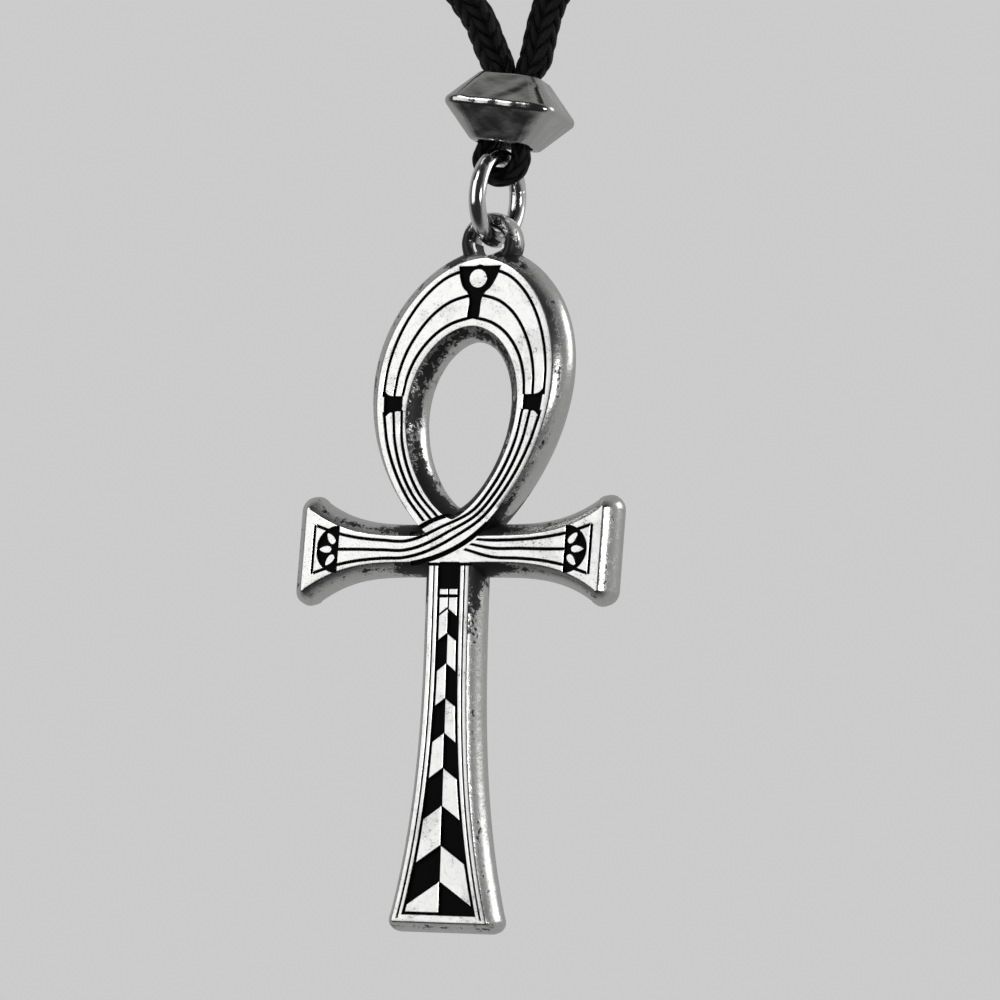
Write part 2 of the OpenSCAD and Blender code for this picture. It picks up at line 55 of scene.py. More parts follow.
# Where things hang, in millimetres, as in the CAD source
hang = {
    "frontY": -127.0,      # plane of the pendant
    "bightZ": -207.7,      # lowest point of the cord's middle line
    "bightShare": 0.6,     # the cord is squeezed to this share inside the ring
    "cordThick": 2.4,
    "ringWire": 1.2,
    "ringOuter": 7.0,
    "ringTurn": -6.0,      # turn of the ring round the hanging line, degrees
    "hangGap": 0.1,
    "beadGap": 0.2,
    "tilt": 4.1,           # turn of the ankh under its eyelet, degrees
}
ringR = (hang["ringOuter"] - hang["ringWire"]) / 2
ringZ = (hang["bightZ"] + hang["cordThick"] / 2 * hang["bightShare"] + hang["hangGap"]
         + hang["ringWire"] / 2 - ringR)


# Modelling helpers

def clearPick():
    if bpy.context.object and bpy.context.object.mode != "OBJECT":
        bpy.ops.object.mode_set(mode="OBJECT")
    bpy.ops.object.select_all(action="DESELECT")


def takeUp(piece):
    clearPick()
    piece.select_set(True)
    bpy.context.view_layer.objects.active = piece
    return piece


def joinUp(pieces):
    takeUp(pieces[0])
    for piece in pieces:
        piece.select_set(True)
    bpy.ops.object.join()
    return pieces[0]


def applyStep(piece, kind, **settings):
    takeUp(piece)
    step = piece.modifiers.new(kind, kind)
    for key, value in settings.items():
        setattr(step, key, value)
    bpy.ops.object.modifier_apply(modifier=step.name)
    return piece


def carve(piece, tool, how="DIFFERENCE", crossing=False):
    applyStep(piece, "BOOLEAN", operation=how, object=tool, solver="EXACT", use_self=crossing,
              material_mode="TRANSFER")
    bpy.data.objects.remove(tool)
    return piece


def pickEdges(piece, test):
    # edit mode, with only the edges that the test chooses selected
    takeUp(piece)
    bpy.ops.object.mode_set(mode="EDIT")
    bpy.ops.mesh.select_mode(type="EDGE")
    bpy.ops.mesh.select_all(action="DESELECT")
    mesh = bmesh.from_edit_mesh(piece.data)
    for edge in mesh.edges:
        edge.select_set(test(edge))
    bmesh.update_edit_mesh(piece.data)


def closeEdit(outward=False):
    if outward:
        bpy.ops.mesh.select_all(action="SELECT")
        bpy.ops.mesh.normals_make_consistent(inside=False)
    bpy.ops.object.mode_set(mode="OBJECT")


def softShade(piece, degrees=32, flatten=True):
    # smooth shading that keeps creases, with big flat faces left flat
    takeUp(piece)
    bpy.ops.object.shade_smooth_by_angle(angle=math.radians(degrees))
    if flatten:
        applyStep(piece, "WEIGHTED_NORMAL", mode="FACE_AREA", weight=50, keep_sharp=True)
    return piece


def loft(name, rings, finish):
    # rings are pairs of y and outline: the first one is filled, then extruded on from ring to ring
    clearPick()
    bpy.ops.mesh.primitive_circle_add(vertices=len(rings[0][1]), fill_type="NGON")
    piece = bpy.context.object
    piece.name = name
    for corner, (x, z) in zip(piece.data.vertices, rings[0][1]):
        corner.co = (x * mm, rings[0][0] * mm, z * mm)
    bpy.ops.object.mode_set(mode="EDIT")
    bpy.ops.mesh.select_all(action="SELECT")
    for (y0, outline0), (y1, outline1) in zip(rings, rings[1:]):
        bpy.ops.mesh.extrude_region_move(TRANSFORM_OT_translate={"value": (0, (y1 - y0) * mm, 0)})
        near = KDTree(len(outline0))
        for i, (x, z) in enumerate(outline0):
            near.insert((x * mm, y1 * mm, z * mm), i)
        near.balance()
        for corner in bmesh.from_edit_mesh(piece.data).verts:
            if corner.select:
                x, z = outline1[near.find(corner.co)[1]]
                corner.co = (x * mm, y1 * mm, z * mm)
        bmesh.update_edit_mesh(piece.data)
    closeEdit(outward=True)
    piece.data.materials.append(finish)
    return piece


def grow(outline, d, sharpest=0.35):
    # the outline moved outwards by d; sharpest keeps a pointed corner from running far out
    area = sum(a[0] * b[1] - b[0] * a[1] for a, b in zip(outline, outline[1:] + outline[:1]))
    turn = 1 if area > 0 else -1
    grown = []
    for i, here in enumerate(outline):
        before, after = Vector(outline[i - 1]), Vector(outline[(i + 1) % len(outline)])
        a, b = (Vector(here) - before).normalized(), (after - Vector(here)).normalized()
        na, nb = Vector((a.y, -a.x)) * turn, Vector((b.y, -b.x)) * turn
        miter = (na + nb) / max(1 + na.dot(nb), sharpest)
        grown.append(tuple(Vector(here) + miter * d))
    return grown


# Shader helpers

class Wire:
    # a socket that adds Math nodes when it is used in an expression
    def __init__(self, finish, socket):
        self.finish, self.socket = finish, socket

    def calc(self, how, a, b=None):
        sockets = {0: a} if b is None else {0: a, 1: b}
        return self.finish.add("ShaderNodeMath", {"operation": how}, sockets)

    def __add__(self, other): return self.calc("ADD", self, other)
    def __radd__(self, other): return self.calc("ADD", other, self)
    def __sub__(self, other): return self.calc("SUBTRACT", self, other)
    def __rsub__(self, other): return self.calc("SUBTRACT", other, self)
    def __mul__(self, other): return self.calc("MULTIPLY", self, other)
    def __rmul__(self, other): return self.calc("MULTIPLY", other, self)


class Finish:
    # a material whose nodes are added one call at a time
    def __init__(self, name, colour, metallic, roughness):
        self.material = bpy.data.materials.new(name)
        self.material.use_nodes = True
        self.material.diffuse_color = (*colour, 1)
        self.tree = self.material.node_tree
        self.tree.nodes.clear()
        self.shader = self.tree.nodes.new("ShaderNodeBsdfPrincipled")
        output = self.tree.nodes.new("ShaderNodeOutputMaterial")
        self.tree.links.new(self.shader.outputs[0], output.inputs[0])
        self.give("Base Color", (*colour, 1))
        self.give("Metallic", metallic)
        self.give("Roughness", roughness)

    def add(self, kind, settings, sockets, out=0):
        node = self.tree.nodes.new(kind)
        for key, value in settings.items():
            setattr(node, key, value)
        for key, value in sockets.items():
            self.plug(node.inputs[key], value)
        return Wire(self, node.outputs[out])

    def plug(self, socket, value):
        if isinstance(value, Wire):
            self.tree.links.new(value.socket, socket)
        else:
            socket.default_value = value

    def give(self, key, value):
        self.plug(self.shader.inputs[key], value)

    def place(self):
        return self.add("ShaderNodeTexCoord", {}, {}, "Object")

    def noise(self, size, detail=3.0, rough=0.5, at=None, twist=0.0):
        # size is about one blotch, in millimetres
        return self.add("ShaderNodeTexNoise", {}, {
            "Vector": at or self.place(), "Scale": 1 / (size * mm), "Detail": detail,
            "Roughness": rough, "Distortion": twist})

    def step(self, value, low, high):
        # 0 below low, 1 above high
        return self.add("ShaderNodeMapRange", {"interpolation_type": "SMOOTHSTEP"}, {
            "Value": value, "From Min": low, "From Max": high})

    def mix(self, share, a, b):
        wide = [(*c, 1) if isinstance(c, tuple) and len(c) == 3 else c for c in (a, b)]
        return self.add("ShaderNodeMix", {"data_type": "RGBA"},
                        {0: share, 6: wide[0], 7: wide[1]}, 2)

    def bump(self, height, strength, depth):
        # depth in millimetres
        sockets = {"Height": height, "Strength": strength, "Distance": depth * mm}
        return self.add("ShaderNodeBump", {}, sockets)


# Camera at the photograph's angle

photoView = {
    "azimuth": 23.07, "elevation": -3.51, "roll": 5.54,      # degrees
    "distance": 299.6, "target": (2.39, -127.0, -230.26),    # millimetres
    "lens": 155.52, "sensor": 36, "clip": (0.01, 50),
}


def outwards(azimuth, elevation):
    # direction from the object at these angles, in degrees
    a, e = math.radians(azimuth), math.radians(elevation)
    return Vector((math.sin(a) * math.cos(e), -math.cos(a) * math.cos(e), math.sin(e)))


def makeCamera():
    back = outwards(photoView["azimuth"], photoView["elevation"])
    bpy.ops.object.camera_add()
    camera = bpy.context.object
    camera.name = "photoCamera"
    turn = (-back).to_track_quat("-Z", "Y").to_matrix().to_4x4()
    turn = turn @ Matrix.Rotation(math.radians(photoView["roll"]), 4, "Z")
    spot = Vector(photoView["target"]) * mm + back * photoView["distance"] * mm
    camera.matrix_world = Matrix.Translation(spot) @ turn
    camera.data.lens = photoView["lens"]
    camera.data.sensor_width = photoView["sensor"]
    camera.data.clip_start, camera.data.clip_end = photoView["clip"]
    bpy.context.scene.camera = camera


makeCamera()
print("camera stands")


# Finishes of the cast metal, with the sizes of their marks in millimetres

metal = {
    "faceColour": (0.86, 0.86, 0.85), "faceRough": 0.3,
    "wornColour": (0.6, 0.6, 0.59), "pitColour": (0.16, 0.16, 0.16),
    "patch": 1.8, "pit": 0.09, "wave": 0.7,
    "sideColour": (0.56, 0.56, 0.55), "rubbedColour": (0.8, 0.8, 0.79), "sideRough": 0.17,
    "sootColour": (0.018, 0.018, 0.02), "blotch": 1.6, "speck": 0.34,
    "sootFrom": 0.6, "sootFull": 0.69,            # patina begins and is full at these heights of the noise
    "hollowSoot": 0.42, "sideSoot": 0.02, "innerSoot": 0.15,
    "blackColour": (0.003, 0.003, 0.0033), "grainColour": (0.007, 0.007, 0.0074),
    "blackSpecular": 0.06, "grain": 0.12,
}


def faceFinish():
    f = Finish("polishedFace", metal["faceColour"], 1.0, metal["faceRough"])
    patches = f.step(f.noise(metal["patch"], 2), 0.52, 0.68)
    pits = f.step(f.noise(metal["pit"], 2, 0.6), 0.61, 0.68) * (0.25 + 0.75 * patches)
    wave = f.noise(metal["wave"], 3)
    worn = f.mix(patches * 0.5, metal["faceColour"], metal["wornColour"])
    f.give("Base Color", f.mix(pits, worn, metal["pitColour"]))
    f.give("Roughness", metal["faceRough"] - 0.06 + 0.12 * wave + 0.2 * pits)
    f.give("Normal", f.bump(wave * 0.5 - pits, 0.5, 0.02))
    return f.material


def blackFinish():
    f = Finish("blackRecess", metal["blackColour"], 0.0, 0.5)
    grain = f.noise(metal["grain"], 3)
    f.give("Base Color", f.mix(f.step(grain, 0.55, 0.75), metal["blackColour"], metal["grainColour"]))
    f.give("Roughness", 0.42 + 0.3 * grain)
    f.give("Specular IOR Level", metal["blackSpecular"])
    f.give("Normal", f.bump(grain, 0.5, 0.03))
    return f.material


def sideFinish(name, sootiness):
    # rubbed metal with dark patina left in patches, most of it in the hollows
    f = Finish(name, metal["sideColour"], 1.0, metal["sideRough"])
    soot = f.add("ShaderNodeAttribute", {"attribute_name": "hollow"}, {}, "Fac")
    broad = f.noise(metal["blotch"], 4, 0.6)
    fine = f.noise(metal["speck"], 4, 0.6, twist=0.8)
    mask = f.step(broad * 0.5 + fine * 0.5 + soot * metal["hollowSoot"] + sootiness,
                  metal["sootFrom"], metal["sootFull"])
    bare = f.mix(fine, metal["sideColour"], metal["rubbedColour"])
    f.give("Base Color", f.mix(mask, bare, metal["sootColour"]))
    f.give("Metallic", 1.0 - 0.75 * mask)
    f.give("Roughness", metal["sideRough"] + 0.14 * broad + 0.2 * mask)
    f.give("Normal", f.bump(broad + fine * 0.16 - mask * 0.25, 0.6, 0.07))
    return f.material


finishes = {
    "side": sideFinish("castSide", metal["sideSoot"]),
    "inner": sideFinish("castInner", metal["innerSoot"]),
    "face": faceFinish(),
    "black": blackFinish(),
}

# The ankh: one casting, modelled face on round the crossing and then hung in its place. Millimetres.

ankhSize = {
    "loopH": 20.3, "loopW": 13.1, "holeW": 8.2, "holeH": 13.4, "holeRise": 2.1, "loopLean": 1.7,
    "armSpan": 22.4, "armEndH": 6.1, "armNeckH": 1.9, "armSlant": 0.05,
    "shaftL": 25.8, "shaftNeckW": 3.1, "footW": 7.2,
    "thick": 3.3, "edgeSwell": 0.9, "shaftSwell": 0.65, "cornerR": 0.15,
    "relief": 0.3, "lineW": 0.2, "crossGap": 0.34,
    "eyeBore": 2.1, "eyeWall": 1.15, "eyeThick": 2.3, "eyeRise": 1.2,
    "loopPoint": 0.72, "loopCrown": 0.56, "holeCrown": 0.54, "leanPower": 1.6,
    "armFlat": 0.25, "armPower": 3.0, "shaftFlat": 0.15, "shaftPower": 2.75,
    "shoulderW": 0.94, "shoulderD": 0.68, "shoulderH": 1.5,    # shares of the eyelet's width, depth and rise
    "shoulderR": 0.42, "boreEase": 0.004,
}
s = ankhSize
half = s["thick"] / 2
eyeZ = s["loopH"] + s["eyeRise"]


def lean(z):
    return s["loopLean"] * (max(z, 0) / s["loopH"]) ** s["leanPower"]


def bulge(t, a, b):
    t = min(max(t, 0), 1)
    return t ** a * (1 - t) ** b / ((a / (a + b)) ** a * (b / (a + b)) ** b)


def loopPt(side, t, o=0):
    z = (s["loopH"] + o) * t
    return (lean(z) + side * (s["loopW"] / 2 + o) * bulge(t, s["loopPoint"], s["loopCrown"]), z)


def holePt(side, t, o=0):
    z = s["holeRise"] + o + (s["holeH"] - 2 * o) * t
    return (lean(z) + side * (s["holeW"] / 2 - o) * bulge(t, s["loopPoint"], s["holeCrown"]), z)


def past(u, start):
    return max(u - start, 0) / (1 - start)


def armHalf(x):
    flare = past(abs(2 * x / s["armSpan"]), s["armFlat"]) ** s["armPower"]
    return s["armNeckH"] / 2 + (s["armEndH"] - s["armNeckH"]) / 2 * flare


def armSlope(x):
    flare = past(abs(2 * x / s["armSpan"]), s["armFlat"]) ** (s["armPower"] - 1)
    return (s["armEndH"] - s["armNeckH"]) / s["armSpan"] / (1 - s["armFlat"]) * s["armPower"] * flare


def shaftHalf(z):
    flare = past(-z / s["shaftL"], s["shaftFlat"]) ** s["shaftPower"]
    return s["shaftNeckW"] / 2 + (s["footW"] - s["shaftNeckW"]) / 2 * flare


def shaftSlope(z):
    flare = past(-z / s["shaftL"], s["shaftFlat"]) ** (s["shaftPower"] - 1)
    flareW = (s["footW"] - s["shaftNeckW"]) / 2
    return flareW / s["shaftL"] / (1 - s["shaftFlat"]) * s["shaftPower"] * flare


def teardrop(point, o, count=168):
    ring = []
    for i in range(count):
        a = math.tau * i / count
        ring.append(point(1 if a < math.pi else -1, (1 - math.cos(a)) / 2, o))
    return ring


def cornerArc(cx, cz, a, b, r, count=9):
    turns = [a + (b - a) * i / (count - 1) for i in range(count)]
    return [(cx + r * math.cos(t), cz + r * math.sin(t)) for t in turns]


def flipX(points):
    return [(-x, z) for x, z in reversed(points)]


def flipZ(points):
    return [(x, -z) for x, z in reversed(points)]


def armOutline(o, steps=26):
    end = s["armSpan"] / 2
    r = max(s["cornerR"] + o, 0.02)
    quarter = cornerArc(end - s["cornerR"], armHalf(end) - 1.6 * s["cornerR"], 0,
                        math.pi / 2 + math.atan(armSlope(end)), r)
    for i in range(1, steps + 1):
        x = end * (1 - (1 - s["armFlat"]) * i / steps)
        n = Vector((-armSlope(x), 1)).normalized()
        quarter.append((x + o * n.x, armHalf(x) + o * n.y))
    top = quarter + flipX(quarter)
    whole = top + flipX(flipZ(flipX(top)))
    return [(x + s["armSlant"] * z, z) for x, z in whole]


def shaftOutline(o, steps=30):
    r = max(s["cornerR"] + o, 0.02)
    right = cornerArc(s["footW"] / 2 - 1.2 * s["cornerR"], -s["shaftL"] + s["cornerR"], -math.pi / 2,
                      math.atan(shaftSlope(-s["shaftL"])), r)
    for i in range(1, steps + 1):
        z = -s["shaftL"] * (1 - (1 - s["shaftFlat"]) * i / steps)
        n = Vector((1, shaftSlope(z))).normalized()
        right.append((shaftHalf(z) + o * n.x, z + o * n.y))
    right.append((s["shaftNeckW"] / 2 + o, 0))
    return right + flipX(right)


# Section of the casting's edge: depth behind the face and how far it stands out. The first rows soften the
# edge at the face, and the depths after them lie on its swell.
edgeSection = [(0, -0.1), (0.012, -0.045), (0.035, 0.0), (0.08, 0.05)]
edgeDepths = [0.2, 0.4, 0.7, 1.1, 1.65]


def edgeRings(outline, swell):
    front = [(-half + y, o if o < 0 else o * swell / s["edgeSwell"]) for y, o in edgeSection]
    front += [(-half + y, swell * (1 - (1 - y / half) ** 2)) for y in edgeDepths]
    both = front + [(-y, o) for y, o in reversed(front[:-1])]
    return [(y, outline(o)) for y, o in both]


def smoothAt(rows, u):
    # smooth curve through rows of numbers, of which the first two or three are the place
    def reach(a, b):
        return max(math.hypot(*(b[k] - a[k] for k in range(min(3, len(a))))), 1e-9)

    def slope(i):
        if i == 0 or i == len(rows) - 1:
            a, b = (rows[0], rows[1]) if i == 0 else (rows[-2], rows[-1])
            return [(q - p) / reach(a, b) for p, q in zip(a, b)]
        a, b = reach(rows[i - 1], rows[i]), reach(rows[i], rows[i + 1])
        return [((q - p) / a * b + (r - q) / b * a) / (a + b)
                for p, q, r in zip(rows[i - 1], rows[i], rows[i + 1])]

    i = min(int(u), len(rows) - 2)
    t, size = u - i, reach(rows[i], rows[i + 1])
    weights = (2 * t ** 3 - 3 * t ** 2 + 1, (t ** 3 - 2 * t ** 2 + t) * size,
               3 * t ** 2 - 2 * t ** 3, (t ** 3 - t ** 2) * size)
    parts = zip(rows[i], slope(i), rows[i + 1], slope(i + 1))
    return [sum(w * v for w, v in zip(weights, part)) for part in parts]


def acrossBand(edges, u, share):
    a, b = smoothAt(edges[0], u), smoothAt(edges[1], u)
    return tuple(p + (q - p) * share for p, q in zip(a, b))


def bandWidth(edges, u):
    return math.dist(smoothAt(edges[0], u), smoothAt(edges[1], u))


def shareAt(shares, u):
    return smoothAt([(i, share) for i, share in enumerate(shares)], u)[1]


def strip(edges, shares, w, u0, u1, count):
    # a line of width w along a band, from place u0 to u1
    us = [u0 + (u1 - u0) * i / count for i in range(count + 1)]
    sides = []
    for turn, row in ((-1, us), (1, us[::-1])):
        for u in row:
            share = shareAt(shares, u) + turn * w / 2 / bandWidth(edges, u)
            sides.append(acrossBand(edges, u, share))
    return sides


# Bands of the loop and arms: pairs of edges, and the shares across them where the three lines run
upperRows = [0.53, 0.63, 0.73, 0.82, 0.9, 0.96, 1]
upperShares = [[0.2, 0.2, 0.19, 0.17, 0.14, 0.12, 0.12],
               [0.53, 0.53, 0.53, 0.53, 0.52, 0.52, 0.52],
               [0.79, 0.79, 0.8, 0.82, 0.84, 0.86, 0.86]]
armRows = [0.3, 0.46, 0.62, 0.77, 0.92]


def upperEdges(side):
    return [[loopPt(side, t) for t in upperRows], [holePt(side, 1 - 0.75 * (1 - t)) for t in upperRows]]


def armPt(side, up, share):
    x = side * s["armSpan"] / 2 * share
    return (x + s["armSlant"] * up * armHalf(x), up * armHalf(x))


overEdges = [
    [loopPt(1, t) for t in (0.47, 0.35, 0.25, 0.17, 0.1)] + [(0.03 * s["armSpan"], 0.2 * s["armNeckH"])]
    + [armPt(-1, -1, t) for t in armRows],
    [holePt(1, t) for t in (0.57, 0.41, 0.27, 0.165, 0.07)] + [(-0.06 * s["armSpan"], 0.88 * s["holeRise"])]
    + [armPt(-1, 1, t) for t in armRows]]
overShares = [[0.2, 0.24, 0.26, 0.27, 0.27, 0.26, 0.2, 0.18, 0.17, 0.16, 0.16],
              [0.54, 0.53, 0.52, 0.52, 0.52, 0.5, 0.47, 0.48, 0.5, 0.5, 0.5],
              [0.79, 0.78, 0.77, 0.77, 0.76, 0.75, 0.8, 0.82, 0.83, 0.84, 0.84]]
underEdges = [[loopPt(-1, t) for t in (0.47, 0.35, 0.25, 0.17, 0.09)],
              [holePt(-1, t) for t in (0.57, 0.41, 0.27, 0.14, 0.02)]]
underShares = [[0.24, 0.26, 0.28, 0.28, 0.27], [0.55, 0.54, 0.52, 0.52, 0.52], [0.82, 0.8, 0.78, 0.77, 0.77]]
rightEdges = [
    [(0.02 * s["armSpan"], -0.12 * s["armNeckH"])] + [armPt(1, -1, t) for t in armRows],
    [(0.1 * s["armSpan"], 0.5 * s["armNeckH"])] + [armPt(1, 1, t) for t in armRows]]
rightShares = [[0.24, 0.2, 0.18, 0.17, 0.16, 0.16], [0.52, 0.52, 0.52, 0.5, 0.5, 0.5],
               [0.78, 0.82, 0.83, 0.84, 0.84, 0.84]]


# How far the lines run along each band: start, end of the outer lines, end of the middle line, and steps
lineRuns = {"upper": (-0.04, 6, 5.75, 26), "over": (0, 10, 9, 60), "under": (0, 4, 4, 20),
            "right": (0.1, 5, 4, 24)}
# The breaks at the loop's sides, scalloped on the raised bands: rows of the share across the band and the
# place along it, for the edge towards the upper bands and for the edge towards the lower ones
breaks = {
    "top": [(0.19, 0.34), (0.23, 0.19), (0.29, 0.07), (0.37, 0.0), (0.47, -0.04), (0.53, 0.0), (0.6, -0.05),
            (0.7, -0.06), (0.8, -0.04)],
    "low": [(0.82, 0.03), (0.7, 0.0), (0.6, 0.01), (0.54, 0.05), (0.47, 0.01), (0.37, 0.05), (0.29, 0.12),
            (0.23, 0.22), (0.19, 0.34)],
    "rightInset": 0.03,
}


def bandLine(band, edges, shares, line):
    start, outer, middle, steps = lineRuns[band]
    return strip(edges, shares[line], s["lineW"], start, middle if line == 1 else outer, steps)


def loopSinks():
    sinks = [bandLine("upper", upperEdges(side), upperShares, line) for side in (-1, 1) for line in range(3)]
    for line in range(3):
        sinks += [bandLine("over", overEdges, overShares, line),
                  bandLine("under", underEdges, underShares, line),
                  bandLine("right", rightEdges, rightShares, line)]
    # gaps on both sides of the ribbon that passes in front
    gap = s["crossGap"]
    sinks.append(strip(overEdges, [1 + gap / 5] * 11, gap, 4.3, 5.9, 14))
    sinks.append(strip(overEdges, [-gap / 5] * 11, gap, 4.1, 5.9, 14))
    for side, edges, inset in ((-1, underEdges, 0), (1, overEdges, breaks["rightInset"])):
        sinks.append([acrossBand(upperEdges(side), u, share) for share, u in breaks["top"]]
                     + [acrossBand(edges, u, share - inset) for share, u in breaks["low"]])
    return sinks


# Keystone at the crown: rows down it as shares of the band's height and of the loop's width, and its disc
keystone = {
    "shares": [0.12, 0.3, 0.44, 0.5, 0.86], "halves": [0.12, 0.102, 0.075, 0.05, 0.035],
    "discRow": 1, "disc": 0.42,
}


def keystoneRows():
    low = s["holeRise"] + s["holeH"]
    return [(s["loopH"] + (low - s["loopH"]) * share, wide * s["loopW"])
            for share, wide in zip(keystone["shares"], keystone["halves"])]


def crownSinks(steps=18):
    fine = [smoothAt(keystoneRows(), 4 * i / steps) for i in range(steps + 1)]
    return [[(lean(z) - w, z) for z, w in fine] + [(lean(z) + w, z) for z, w in reversed(fine)]]


def crownDisc(count=32):
    # the raised disc, which is added back after the keystone is sunk
    z = keystoneRows()[keystone["discRow"]][0]
    r = s["loopW"] * keystone["halves"][0] * keystone["disc"]
    turns = [math.tau * i / count for i in range(count)]
    return [(lean(z) + r * math.cos(a), z + r * math.sin(a)) for a in turns]


# Motif of the arms' ends: places are shares of the arm, and the petals are shares of the half round's radius
fan = {
    "x": 0.76, "r": 0.66, "frameX": 0.93, "frameH": 0.68,
    "turns": (-52, 0, 52), "middle": 0.58, "long": 0.28, "wide": 0.13, "taper": (1.15, 0.35),
}


def armEnd(side, steps=24, petalSteps=20):
    # what is sunk, a half round and the frame line, and the petals that stay raised in it
    end = s["armSpan"] / 2
    fx, fr = end * fan["x"], armHalf(end * fan["frameX"]) * fan["r"]
    lineX, lineTop = end * fan["frameX"], armHalf(end * fan["frameX"]) * fan["frameH"]

    def at(x, z):
        return (side * x + s["armSlant"] * z, z)

    turns = [math.radians(180 / steps * i) for i in range(steps + 1)]
    halfRound = [at(fx + fr * math.sin(a), fr * math.cos(a)) for a in turns]
    petals = []
    for turn in fan["turns"]:
        c, n = math.cos(math.radians(turn)), math.sin(math.radians(turn))
        shape = []
        for i in range(petalSteps):
            a = math.tau * i / petalSteps
            along = fan["middle"] + fan["long"] * math.cos(a)
            beside = fan["wide"] * math.sin(a) * (fan["taper"][0] - fan["taper"][1] * math.cos(a))
            shape.append(at(fx + fr * (along * c - beside * n), fr * (along * n + beside * c)))
        petals.append(shape)
    w = s["lineW"] / 2
    line = [at(lineX - w, -lineTop), at(lineX + w, -lineTop), at(lineX + w, lineTop), at(lineX - w, lineTop)]
    return [halfRound, line], petals


# Pattern of the shaft: insets in millimetres, the chevrons' slope, and places down it as shares of its length
chevrons = {
    "rim": 0.9, "thinInset": 0.4, "thin": 0.6, "top": -1.1, "thinEnd": 0.3, "foot": 0.55,
    "drop": 0.8, "lap": 0.03, "bars": (0.035, 0.107, 0.122),
    "blocks": [0.159, 0.225, 0.306, 0.399, 0.492, 0.585, 0.686, 0.791, 0.888, 0.973],
}


def shaftSinks():
    rim, drop, lap, blocks, lineTop = (chevrons[key] for key in ("rim", "drop", "lap", "blocks", "top"))
    w, thin = s["lineW"], chevrons["thin"] * s["lineW"]
    footZ = -s["shaftL"] + chevrons["foot"]

    def inner(z):
        return shaftHalf(z) - rim

    def edgeLine(side, inset, wide, z0, z1, count=30):
        zs = [z0 + (z1 - z0) * i / count for i in range(count + 1)]
        return ([(side * (shaftHalf(z) - inset - wide / 2), z) for z in zs]
                + [(side * (shaftHalf(z) - inset + wide / 2), z) for z in reversed(zs)])

    def bar(top, low):
        a, b = inner(top) + w / 2, inner(low) + w / 2
        return [(-a, top), (a, top), (b, low), (-b, low)]

    sinks = []
    for side in (-1, 1):
        sinks.append(edgeLine(side, chevrons["thinInset"], thin, lineTop, -s["shaftL"] + chevrons["thinEnd"]))
        sinks.append(edgeLine(side, rim - w / 2, w, lineTop, footZ))
        for i in range(len(blocks) - 1):
            if (i % 2 == 0) == (side == 1):
                top, low = -blocks[i] * s["shaftL"], -blocks[i + 1] * s["shaftL"]
                topOut = max(top - drop * inner(top), footZ)
                lowOut = max(low - drop * inner(low), footZ)
                sinks.append([(-side * lap, top),
                              (side * (inner(topOut) + w / 2), topOut - drop * w / 2 * (topOut > footZ)),
                              (side * (inner(lowOut) + w / 2), max(lowOut - drop * w / 2, footZ - 0.01)),
                              (-side * lap, low)])
    start, barTop, barLow = (-share * s["shaftL"] for share in chevrons["bars"])
    sinks += [bar(start, barTop), bar(barLow, barLow - w), bar(footZ + w, footZ)]
    # the groove under the crossing, and the first block's fine lines
    wide, foot = s["shaftNeckW"] / 2 + 0.1, -s["armNeckH"] / 2
    sinks.append([(-wide, foot), (wide, foot), (wide, foot - w), (-wide, foot - w)])
    first = -blocks[0] * s["shaftL"]
    firstOut = first - drop * inner(first)
    sinks.append([(-thin / 2, barTop + lap), (thin / 2, barTop + lap), (thin / 2, first), (-thin / 2, first)])
    sinks.append([(lap, first + thin), (-inner(first) - w / 2, firstOut - drop * w / 2 + thin),
                  (-inner(first) - w / 2, firstOut - drop * w / 2), (lap, first)])
    return sinks


# Rings of the pattern's tools: distance from the middle and growth of the outline. Cutters flare at the face.
sinkLevels = [(half + 0.25, 0.03), (half, 0.03), (half - 0.03, 0.0), (half - s["relief"], -0.02)]
raiseLevels = [(half, -0.03), (half - 0.02, -0.008), (half - 0.05, 0), (half - s["relief"] - 0.05, 0.03)]


def stamp(outline, face, levels, finish):
    return loft("stamp", [(face * y, grow(outline, d)) for y, d in levels], finish)


def layAt(x, z):
    # lays a tool that is modelled along Z along Y instead, at this place on the face
    return Matrix.Translation((x * mm, 0, z * mm)) @ Matrix.Rotation(math.pi / 2, 4, "X")


